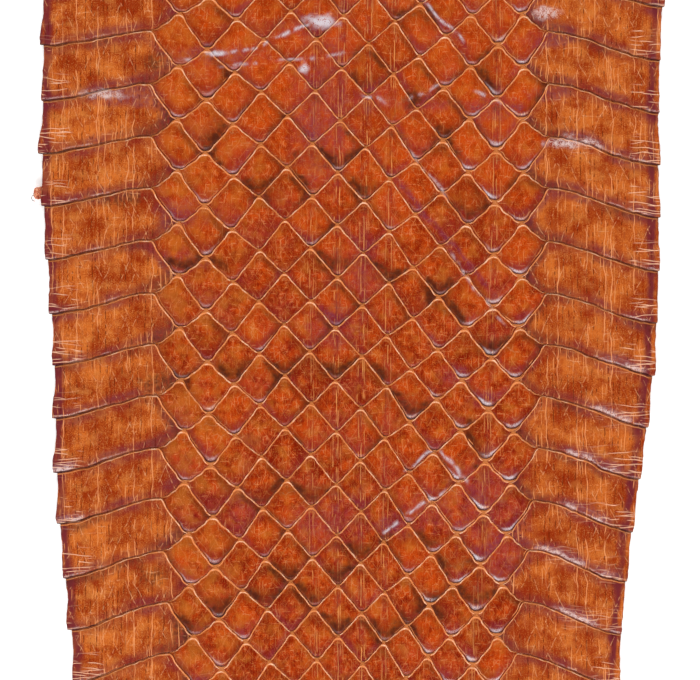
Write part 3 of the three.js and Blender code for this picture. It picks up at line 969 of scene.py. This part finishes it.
def scute_leather():
    material = leather("glazed_belly_scutes")
    place = place_in_mm(material.node_tree)
    tone = mark(place, "tone")
    here = own_place(place, tone)
    clouds = grain(here, 5.0, 4)
    mottle = grain(here, 0.8, 3)
    fine = grain(here, 0.22, 2)
    upright = grain(here, (0.4, 4.0), 3)
    # The dye, thinner and more golden than on the back, and redder next to it
    warmth = mottle * 0.18 + clouds * 0.5 + upright * 0.16 + fine * 0.26 + tone * 0.06
    colour = paint(dye("902c04"), dye("d06c28"), over(warmth, 0.44, 0.70))
    inward = 1 - over(abs(part_of(place, 0)), *NEAR_BACK)
    gold = over(grain(here, (3.4, 2.6), 3), 0.5, 0.75)
    colour = paint(colour, dye("d2823e"), gold * (0.45 - inward * 0.25))
    colour = paint(colour, dye("dc965c"), over(fine * 0.6 + upright * 0.4, 0.53, 0.66) * 0.38)
    colour = paint(colour, dye("7a2206"), over(mottle * 0.5 + upright * 0.5, 0.52, 0.66) * 0.4)
    right_side = over(part_of(place, 0), *RIGHT_SIDE)
    colour = paint(colour, dye("902c0a"), right_side * 0.12)
    rusty = over(grain(here, (2.6, 2.4), 3) + inward * 0.1, 0.5, 0.75)
    colour = paint(colour, dye("8c1e04"), rusty * 0.42)
    # Painted sheen and shade, the violet strip, and the stains with painted shade
    sheen_and_shade = mark(place, "sheen_and_shade")
    colour = paint(colour, dye("7c3c48"), sheen_and_shade * over(mottle * 0.6 + fine * 0.4, 0.25, 0.6) * 0.66)
    colour = paint(colour, dye("6c222c"), mark(place, "rim") * over(mottle + fine, 0.35, 0.85) * 0.92)
    # Stains, together with the painted shade of the inner ends and heads
    stain_and_shade = mark(place, "stain_and_shade") * over(mottle * 0.5 + upright * 0.5, 0.3, 0.6)
    colour = paint(colour, dye("552a1c"), stain_and_shade * 0.85)
    # Stretch marks: long ones that run on from scute to scute, and shorter ones of each scute
    long_lines = lines(place, 2.8, 0.17, 30.0, wander=1.1) * over(clouds, 0.36, 0.5)
    short_lines = lines(here, 0.9, 0.15, 5.0, wander=0.7) * over(clouds, 0.46, 0.62)
    slanted = lines(here, 2.6, 0.17, 3.5, lean=0.5) + lines(here, 2.9, 0.17, 3.5, lean=-0.45)
    level = lines(here, 1.6, 0.16, 3.0, axis=1, wander=1.6) * over(clouds, 0.48, 0.62)
    dark_lines = lines(here, 1.1, 0.17, 5.0, wander=0.5) * over(mottle, 0.42, 0.58)
    # The scutes have no keel. This mark shows where scratches cross their outer ends
    near_edge = mark(place, "keel")
    scratches = lines(here, 0.9, 0.16, 5.5, axis=1, lean=0.1, wander=0.6)
    scratches = scratches + lines(here, 1.4, 0.15, 6.0, axis=1, lean=-0.08, wander=0.6)
    scratches = scratches * over(near_edge, 0.2, 0.8)
    colour = paint(colour, dye("601a04"), dark_lines * 0.8)
    colour = paint(colour, dye("ee9862"), long_lines * 0.8)
    colour = paint(colour, dye("ee9a5e"), short_lines * 0.68)
    colour = paint(colour, dye("e6a070"), (slanted + level) * over(mottle, 0.4, 0.6) * 0.5)
    colour = paint(colour, dye("f2b896"), scratches * 0.85)
    colour = paint_grooves(colour, place, fine)
    # Painted highlights on the lips and at the glints
    highlight = mark(place, "lip") * over(mottle * 0.5 + fine * 0.5, 0.34, 0.62)
    colour = paint(colour, dye("e0c2bc"), highlight * 0.9)
    # Painted shade in the crevices
    colour = paint(colour, dye("2a0c08"), mark(place, "crevice_shade") * 0.96)
    colour = paint(colour, RAW_EDGE, over(mark(place, "cut"), 0.15, 0.6))
    roughness = 0.46 - sheen_and_shade * 0.12 + mottle * 0.1
    height = mottle * 0.3 + upright * 0.4 + fine * 0.25 + long_lines * 0.6 + short_lines * 0.4
    height = height + scratches * 0.8 - dark_lines * 0.5
    glazed(material, colour, roughness, height, 0.7 - mark(place, "crevice_shade") * 0.7)
    return material


def scute_piece(name, side, material):
    row = (BUILT_ROWS + (0.5 if side < 0 else 0))[:, None, None]
    column = 0 if side < 0 else BACK_COLUMNS + 1
    steps = SCALE_STEPS
    down = steps[None, None, :]
    out = SCUTE_STEPS[None, :, None]
    x, y = scute_plan(side, row, out, down)
    _, across, _, _ = side_distances(column, row, np.ones(1), np.ones(1))
    tall = mix(across, SCUTE_TALL, smooth(out, 0, 0.15))
    to_head = down * tall
    to_tail = (1 - down) * tall
    height, marks = scute_surface(side, row, x, y, out, to_head, to_tail, down + 0 * x)
    band = np.stack([x, y, underside(x, y) + THICKNESS + height], axis=-1)
    band_faces = grid_faces(len(row), len(SCUTE_STEPS), len(steps), side < 0).reshape(-1, 4)

    # The inner tip is half of a diamond scale, split along its middle
    first, second = np.meshgrid(steps, steps, indexing="ij")
    a, b = first[None], second[None]
    near, far = (b, a) if side < 0 else (a, b)
    half = scale_plan(column, row, a, b)
    half_x, half_y = half[..., 0], half[..., 1]
    half_down = (a + b) / 2 + 0 * half_x
    half_height, half_marks = scute_surface(
        side, row, half_x, half_y, 0, near * across, (1 - far) * across, half_down
    )
    half_z = underside(half_x, half_y) + THICKNESS + half_height
    tip = np.concatenate([half, half_z[..., None]], axis=-1)
    count = len(steps)
    tip_faces = grid_faces(len(row), count, count).reshape(len(row), count - 1, count - 1, 4)
    i, j = np.meshgrid(np.arange(count - 1), np.arange(count - 1), indexing="ij")
    inside = i > j if side < 0 else i < j
    whole = tip_faces[:, inside].reshape(-1, 4) + len(band.reshape(-1, 3))
    split = tip_faces[:, i == j].reshape(-1, 4) + len(band.reshape(-1, 3))
    split = split[:, [0, 2, 3]] if side < 0 else split[:, [0, 1, 2]]

    places = np.concatenate([band.reshape(-1, 3), tip.reshape(-1, 3)])
    all_marks = {}
    for key in MARKS:
        on_band = np.broadcast_to(marks[key], x.shape).ravel()
        on_tip = np.broadcast_to(half_marks[key], half_x.shape).ravel()
        all_marks[key] = np.concatenate([on_band, on_tip])
    at_side = np.broadcast_to(out == 1, x.shape).ravel()
    all_marks["cut"] = np.concatenate([at_side, np.zeros(half_x.size)]).astype(float)
    faces = band_faces.tolist() + whole.tolist() + split.tolist()
    piece = skin_object(name, places, all_marks, [np.array(face) for face in faces])
    piece.data.materials.append(material)
    return piece


scute_material = scute_leather()
scute_piece("left_belly_scutes", -1, scute_material)
scute_piece("right_belly_scutes", 1, scute_material)


# The torn shred
# A scrap of the skin's edge, torn loose on the left and curled up on itself, with one thread
# of the flesh side's fibres looping out of it. It still hangs on at its right end.
SHRED = (-59.95, 28.35, 1.35)
SHRED_HALF = (0.95, 1.15, 0.8)
NECK = (-59.1, 28.95, 1.1)
NECK_HALF = (1.35, 0.72, 0.42)
LUMP_SUBDIVISIONS = 5
THREAD_LOOP = (-60.85, 27.5, 0.9)
THREAD_ARC = 0.5
THREAD_TALLER = 1.15
THREAD_SINK = 0.25
THREAD_THICK = 0.07
THREAD_TURN = (70, 285)
THREAD_STEPS = 24
THREAD_SIDES = 9
# Left of here the shred is bare fibre, grey and undyed
FIBRE_X = (-61.0, -60.8)


def lump(middle, half, seed):
    """A crumpled ball of leather, as places and faces."""
    work = bmesh.new()
    bmesh.ops.create_icosphere(work, subdivisions=LUMP_SUBDIVISIONS, radius=1.0)
    x, y, z = np.array([v.co for v in work.verts]).T
    faces = [[v.index for v in face.verts] for face in work.faces]
    work.free()
    grow = 1 + 0.13 * drift(x + 2 * z, y - z, 0.6, seed)
    grow = grow + 0.06 * drift(x - z, y + 2 * z, 0.2, seed + 1)
    fold = 0.3 * hump(x + 0.25 * np.sin(3 * y + seed), 0.15, 0.2) * (z > 0)
    places = np.stack([x, y, z], axis=-1) * (grow - fold)[:, None] * np.array(half)
    return places + np.array(middle), faces


def thread():
    """A loop of fibre, as places and faces of a bent tube."""
    turn = np.linspace(*np.radians(THREAD_TURN), THREAD_STEPS)[:, None]
    round_tube = np.linspace(0, 2 * np.pi, THREAD_SIDES)[None, :]
    away = THREAD_ARC + THREAD_THICK * np.cos(round_tube)
    x = THREAD_LOOP[0] + away * np.cos(turn)
    y = THREAD_LOOP[1] + THREAD_TALLER * away * np.sin(turn)
    z = THREAD_LOOP[2] - THREAD_SINK * turn / np.pi + THREAD_THICK * np.sin(round_tube)
    faces = grid_faces(1, THREAD_STEPS, THREAD_SIDES).reshape(-1, 4)
    return np.stack([x, y, z], axis=-1).reshape(-1, 3), faces.tolist()


def shred_piece():
    parts = (lump(SHRED, SHRED_HALF, 21), lump(NECK, NECK_HALF, 25), thread())
    places = []
    faces = []
    for part_places, part_faces in parts:
        faces += [[v + len(places) for v in face] for face in part_faces]
        places += (part_places * MM).tolist()
    mesh = bpy.data.meshes.new("torn_shred")
    mesh.from_pydata(places, [], faces)
    mesh.shade_smooth()
    piece = bpy.data.objects.new("torn_shred", mesh)
    bpy.context.scene.collection.objects.link(piece)
    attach(piece, "root")
    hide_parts("snake_skin")
    return piece


def shred_leather():
    material = leather("torn_leather")
    place = place_in_mm(material.node_tree)
    mottle = grain(place, 0.4, 4)
    colour = paint(dye("b8583a"), dye("e09c78"), over(mottle, 0.42, 0.62))
    colour = paint(colour, dye("843a2c"), over(grain(place, 0.8, 3), 0.54, 0.66) * 0.8)
    fibre = 1 - over(part_of(place, 0), *FIBRE_X)
    colour = paint(colour, dye("66564f"), fibre)
    glazed(material, colour, 0.55 + mottle * 0.1, mottle * 1.5, mottle * 0.4)
    return material


shred = shred_piece()
shred.data.materials.append(shred_leather())


# The flesh side
# The underside of the hide: plain undyed suede, scraped and sanded, which lies on the table.
# It is the other face of the same leather.
FLESH_ALONG = 301
FLESH_ACROSS = 90
FLESH_SET_IN = 0.4
FLESH_RAISED = 0.01
NAP_HIGH = 0.1
SUEDE_ROUGHNESS = 0.9


def flesh_piece():
    up = np.linspace(-LENGTH / 2, LENGTH / 2, FLESH_ALONG)
    left = side_x(-1, up) + FLESH_SET_IN
    right = side_x(1, up) - FLESH_SET_IN
    across = np.linspace(0, 1, FLESH_ACROSS)
    x = mix(left[:, None], right[:, None], across[None, :])
    y = np.broadcast_to(up[:, None], x.shape)
    z = underside(x, y) + FLESH_RAISED
    places = np.stack([x, y, z], axis=-1).reshape(-1, 3)
    faces = grid_faces(1, FLESH_ALONG, FLESH_ACROSS).reshape(-1, 4)
    mesh = bpy.data.meshes.new("flesh_side")
    mesh.from_pydata((places * MM).tolist(), [], faces.tolist())
    mesh.shade_smooth()
    piece = bpy.data.objects.new("flesh_side", mesh)
    bpy.context.scene.collection.objects.link(piece)
    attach(piece, "root")
    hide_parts("snake_skin")
    return piece


def suede():
    material = leather("suede")
    place = place_in_mm(material.node_tree)
    nap = grain(place, 0.5, 4)
    clouds = grain(place, 9.0, 3)
    colour = paint(dye("a9774f"), dye("c89b72"), over(nap * 0.5 + clouds * 0.5, 0.4, 0.62))
    shader = material.node_tree.nodes["Principled BSDF"]
    material.node_tree.links.new(colour.socket, shader.inputs["Base Color"])
    relief = nap.node("Bump", {}, {"Height": nap, "Distance": NAP_HIGH * MM})
    material.node_tree.links.new(relief.socket, shader.inputs["Normal"])
    shader.inputs["Roughness"].default_value = SUEDE_ROUGHNESS
    return material


flesh = flesh_piece()
flesh.data.materials.append(suede())


# The white table under the skin
# Part of the picture and not of the object: a bright sheet, as in a scanner's lid.
# Its sizes are in metres.
TABLE_SIZE = 1.6
TABLE_DROP = 0.0001
TABLE_WHITE = (0.95, 0.95, 0.95, 1)
TABLE_GLOW = 0.32
TABLE_ROUGHNESS = 0.9


def table():
    mesh = bpy.data.meshes.new("white_table")
    half = TABLE_SIZE / 2
    corners = [(-half, -half, 0), (half, -half, 0), (half, half, 0), (-half, half, 0)]
    mesh.from_pydata(corners, [], [(0, 1, 2, 3)])
    material = leather("white_table")
    shader = material.node_tree.nodes["Principled BSDF"]
    shader.inputs["Base Color"].default_value = TABLE_WHITE
    shader.inputs["Roughness"].default_value = TABLE_ROUGHNESS
    shader.inputs["Specular IOR Level"].default_value = 0.0
    shader.inputs["Emission Color"].default_value = (1, 1, 1, 1)
    shader.inputs["Emission Strength"].default_value = TABLE_GLOW
    mesh.materials.append(material)
    piece = bpy.data.objects.new("white_table", mesh)
    piece.location.z = -TABLE_DROP
    bpy.context.scene.collection.objects.link(piece)
    return piece


table()


# The light
# A wide lamp past the picture's lower edge lights the lips that face it, and one past the upper
# edge fills the shadows. Neither shows in the glaze, in which a small lamp glints on its own.
# The room is bright low down, for the views from the side, and dark overhead.
LAMP_AWAY = 1.0
KEY_SIZE = (2.2, 0.14)
KEY_POWER = 11.8
GLINT_SIZE = (0.5, 0.14)
GLINT_POWER = 3.3
FILL_SIZE = (1.4, 0.5)
FILL_POWER = 10.4
WALL_FOOT = (1.7, 1.7, 1.7, 1)
WALL_TOP = (0.4, 0.4, 0.41, 1)
CEILING = (0.02, 0.02, 0.02, 1)
# Where one fades to the next, as the sine of the angle over the horizon
WALL_FADES = (0.05, 0.13)
CEILING_FADES = (0.35, 0.85)
ROOM_STRENGTH = 0.6


def lamp(name, azimuth, tilt, size, power):
    """A lamp aimed at the skin. Azimuth 0 is below the picture, and tilt is from straight up."""
    data = bpy.data.lights.new(name, "AREA")
    data.shape = "RECTANGLE"
    data.size, data.size_y = size
    data.energy = power
    piece = bpy.data.objects.new(name, data)
    turn, lean = math.radians(azimuth), math.radians(tilt)
    piece.location = (
        LAMP_AWAY * math.sin(lean) * math.sin(turn),
        -LAMP_AWAY * math.sin(lean) * math.cos(turn),
        LAMP_AWAY * math.cos(lean),
    )
    piece.rotation_euler = (lean, 0, turn)
    bpy.context.scene.collection.objects.link(piece)
    return piece


key = lamp("key", azimuth=0, tilt=50, size=KEY_SIZE, power=KEY_POWER)
key.visible_glossy = False
lamp("glint", azimuth=0, tilt=50, size=GLINT_SIZE, power=GLINT_POWER)
fill = lamp("fill", azimuth=180, tilt=58, size=FILL_SIZE, power=FILL_POWER)
fill.visible_glossy = False

world = bpy.data.worlds.new("room")
bpy.context.scene.world = world
world.use_nodes = True
sky = world.node_tree.nodes["Background"]
way = Wire(world.node_tree.nodes.new("ShaderNodeTexCoord").outputs["Generated"])
upward = part_of(way, 2)
walls = paint(WALL_FOOT, WALL_TOP, over(upward, *WALL_FADES))
room = paint(walls, CEILING, over(upward, *CEILING_FADES))
world.node_tree.links.new(room.socket, sky.inputs["Color"])
sky.inputs["Strength"].default_value = ROOM_STRENGTH

# The camera
# Straight above the skin on a long lens, with the head end up. It sees this many metres
# across, at the height of the scales.
LENS = 120
SENSOR = 36
SEEN_WIDE = 0.13548
SCALES_HIGH = 0.0009
AIM_X = 0.0003

camera_data = bpy.data.cameras.new("camera")
camera_data.lens = LENS
camera_data.sensor_width = SENSOR
camera = bpy.data.objects.new("camera", camera_data)
camera.location = (AIM_X, 0, SCALES_HIGH + SEEN_WIDE * LENS / SENSOR)
bpy.context.scene.collection.objects.link(camera)

scene = bpy.context.scene
scene.camera = camera
scene.view_settings.view_transform = "Standard"
scene.view_settings.look = "None"
